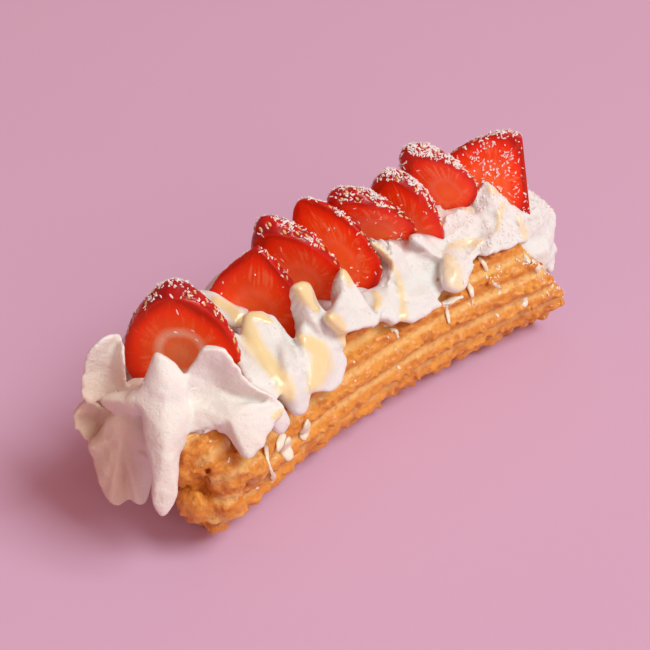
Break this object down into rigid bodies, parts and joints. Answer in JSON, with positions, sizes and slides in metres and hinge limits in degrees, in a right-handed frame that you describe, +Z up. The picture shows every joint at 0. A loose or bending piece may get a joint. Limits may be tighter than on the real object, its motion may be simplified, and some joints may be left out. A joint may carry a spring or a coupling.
{
  "type": "filled churro",
  "caption": "Thick ribbed churro slit along its top, piped full of whipped cream and topped with a leaning row of strawberry halves and sauce.",
  "frame": {"origin": "on the churro's flat underside, below the middle of its length", "axes": "+X along the churro, from the end with the large cream star to the other; +Z up; -Y is the front side, which the cut faces of the strawberries look towards"},
  "size_m": [0.1812, 0.0621, 0.0761],
  "materials": {
    "dough": "fried crust, matte",
    "cream": "soft satin",
    "strawberry": "moist gloss"
  },
  "bodies": {
    "root": {"churro": "dough", "cream": "cream", "strawberry_1": "strawberry", "strawberry_2": "strawberry", "strawberry_3": "strawberry", "strawberry_4": "strawberry", "strawberry_5": "strawberry", "strawberry_6": "strawberry", "strawberry_7": "strawberry", "strawberry_8": "strawberry"}
  },
  "joints": []
}
